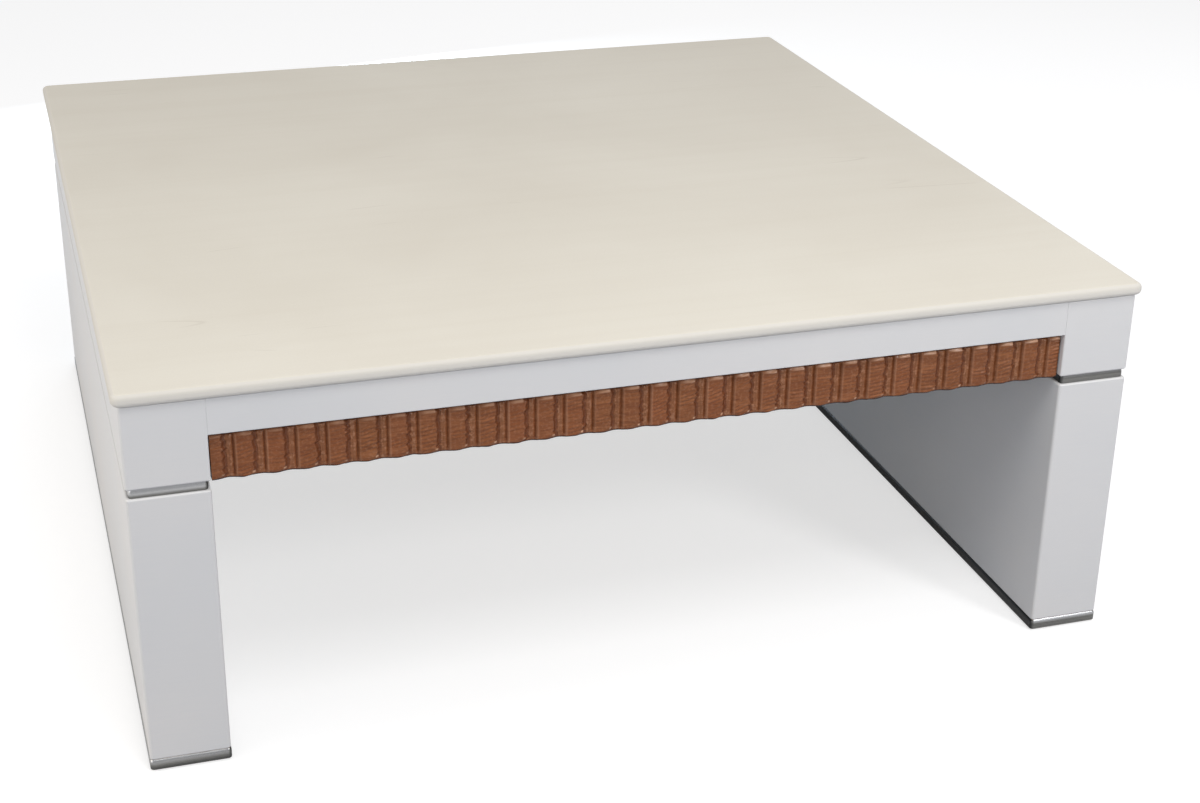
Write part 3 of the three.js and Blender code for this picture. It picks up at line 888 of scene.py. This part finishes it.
def glide(node):
    """A felt disc with a soft lower edge."""
    low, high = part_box(node)
    centre = (low + high) / 2
    radius = (high.x - low.x) / 2
    quarter = [math.pi / 2 * step / glide_edge_steps for step in range(glide_edge_steps + 1)]
    profile = [(radius - glide_edge + glide_edge * math.sin(a), low.z + glide_edge * (1 - math.cos(a)))
               for a in quarter]
    profile.append((radius, high.z))
    rings = [[(centre.x + x, centre.y + y, z) for x, y, z in circle(r, z, glide_sides)] for r, z in profile]
    piece = new_piece(node.replace("glide", "felt_pad"), *loft(rings), "felt")
    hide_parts(node)


def cross(scale, z):
    """The outline of a cross recess, at a scale."""
    points = []
    for x, y, _ in circle(1, 0, screw_sides):
        length = min(recess_slot / max(min(abs(x), abs(y)), TINY), recess_arm)
        points.append((x * length * scale, y * length * scale, z))
    return points


def screw(name, place, direction):
    """A pan head with a cross recess on a short shank; direction points out of the head."""
    top = screw_head_height
    quarter = [math.pi / 2 * step / screw_dome_steps for step in range(screw_dome_steps, 0, -1)]
    profile = [(screw_shank_radius, -screw_shank_length), (screw_shank_radius, 0), (screw_head_radius, 0)]
    dome_share = 1 - screw_rim_share
    profile += [(screw_head_radius * math.sin(a), top * (screw_rim_share + dome_share * math.cos(a)))
                for a in quarter]
    rings = [circle(r, z, screw_sides) for r, z in profile]
    rings.append(cross(1, top * recess_rim_share))
    rings.append(cross(recess_taper, top - recess_depth))
    vertices, faces = loft(rings)
    turn = Vector((0, 0, 1)).rotation_difference(Vector(direction))
    placed = [turn @ Vector(v) + Vector(place) for v in vertices]
    new_piece(name, placed, faces, "zinc_steel")


def bracket_screws():
    """Two screws through each arm of each steel angle."""
    for corner in ("front_left", "front_right", "back_right", "back_left"):
        low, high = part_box(f"corner_bracket_{corner}")
        into_x = 1 if corner.endswith("left") else -1
        into_y = 1 if corner.startswith("front") else -1
        x0 = low.x if into_x > 0 else high.x
        y0 = low.y if into_y > 0 else high.y
        run = (high.x - low.x + bracket_thickness) / 2
        for number, share in enumerate(bracket_screw_shares, 1):
            z = low.z + (high.z - low.z) * share
            on_y = (x0 + into_x * run, y0 + into_y * bracket_thickness, z)
            on_x = (x0 + into_x * bracket_thickness, y0 + into_y * run, z)
            screw(f"bracket_screw_{corner}_apron_{number}", on_y, (0, into_y, 0))
            screw(f"bracket_screw_{corner}_side_{number}", on_x, (into_x, 0, 0))


# Pieces carried over from the frame
slot_starts = (
    ("stone_tape", "foam_tape"),
    ("stone", "stone"),
    ("header", "lacquer"),
    ("leg_shell", "lacquer"),
    ("rail", "lacquer"),
    ("reveal_hoop", "steel_trim"),
    ("foot_hoop", "steel_trim"),
    ("ribbed_strip", "ribbed_wood"),
    ("leg_bolt", "zinc_steel"),
    ("tee_nut", "zinc_steel"),
    ("corner_bracket", "zinc_steel"),
    ("glide", "felt"),
)


def dress_nodes():
    """Gives each node of the frame its material; what no name claims is board."""
    for name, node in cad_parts.items():
        slot = next((slot for start, slot in slot_starts if name.startswith(start)), "board")
        node.data.materials.clear()
        node.data.materials.append(materials[slot])


# Floor, lamps and camera
def glowing(tree, level, strength):
    """A pale surface that also glows."""
    pale = add(tree, "ShaderNodeBsdfDiffuse", {"Color": (level, level, level, 1)}).outputs[0]
    glow = add(tree, "ShaderNodeEmission", {"Color": (1, 1, 1, 1), "Strength": strength}).outputs[0]
    return add(tree, "ShaderNodeAddShader", {0: pale, 1: glow}).outputs[0]


def floor():
    """A pale floor that keeps the table's shadow."""
    bpy.ops.mesh.primitive_circle_add(vertices=floor_sides, radius=floor_radius, fill_type="NGON",
                                      location=(0, 0, 0))
    ground = bpy.context.object
    ground.name = "floor"
    material = bpy.data.materials.new("floor")
    material.use_nodes = True
    tree = material.node_tree
    tree.nodes.clear()
    rays = add(tree, "ShaderNodeLightPath").outputs
    mirrored = {0: rays["Is Glossy Ray"], 1: rays["Is Transmission Ray"]}
    shown = add(tree, "ShaderNodeMath", mirrored, operation="MAXIMUM").outputs[0]
    grey = add(tree, "ShaderNodeBsdfDiffuse", {"Color": floor_colour}).outputs[0]
    lit = add(tree, "ShaderNodeMixShader", {0: shown, 1: grey, 2: glowing(tree, *floor_mirrored)}).outputs[0]
    seen = {0: rays["Is Camera Ray"], 1: lit, 2: glowing(tree, *floor_seen)}
    surface = add(tree, "ShaderNodeMixShader", seen).outputs[0]
    add(tree, "ShaderNodeOutputMaterial", {"Surface": surface})
    ground.data.materials.append(material)


def lamp(name, place, target, size, power, colour):
    """A rectangular soft lamp aimed at a point."""
    data = bpy.data.lights.new(name, "AREA")
    data.shape = "RECTANGLE"
    data.size, data.size_y = size
    data.energy = power
    data.color = colour
    light = bpy.data.objects.new(name, data)
    scene.collection.objects.link(light)
    light.location = place
    light.rotation_euler = (Vector(target) - Vector(place)).to_track_quat("-Z", "Y").to_euler()


def lights():
    """Small lamps from the front, larger ones from above, both sides and behind, one of them low to shine
    in under the table, and an even world."""
    for settings in lamps:
        lamp(*settings)
    world = bpy.data.worlds.new("studio")
    world.use_nodes = True
    background = world.node_tree.nodes["Background"]
    background.inputs["Color"].default_value = world_colour
    background.inputs["Strength"].default_value = world_strength
    scene.world = world


def camera():
    """The photograph's view."""
    data = bpy.data.cameras.new("camera")
    data.lens = camera_lens
    data.sensor_width = sensor_width
    view = bpy.data.objects.new("camera", data)
    scene.collection.objects.link(view)
    view.location = camera_place
    view.rotation_euler = [math.radians(angle) for angle in camera_turn]
    scene.camera = view


dress_nodes()
slab()
for side in SIDES:
    header(side)
    leg(side)
    hoop(f"reveal_band_{side}", f"reveal_hoop_{side}", reveal_wall, reveal_round, reveal_bevel,
         reveal_levels[side])
    hoop(f"plinth_band_{side}", f"foot_hoop_{side}", plinth_wall, plinth_round, plinth_bevel,
         plinth_levels[side])
    for end in ENDS:
        glide(f"glide_{side}_{end}")
for end in ENDS:
    rail(end)
    ribbed_strip(end)
bracket_screws()
floor()
lights()
camera()
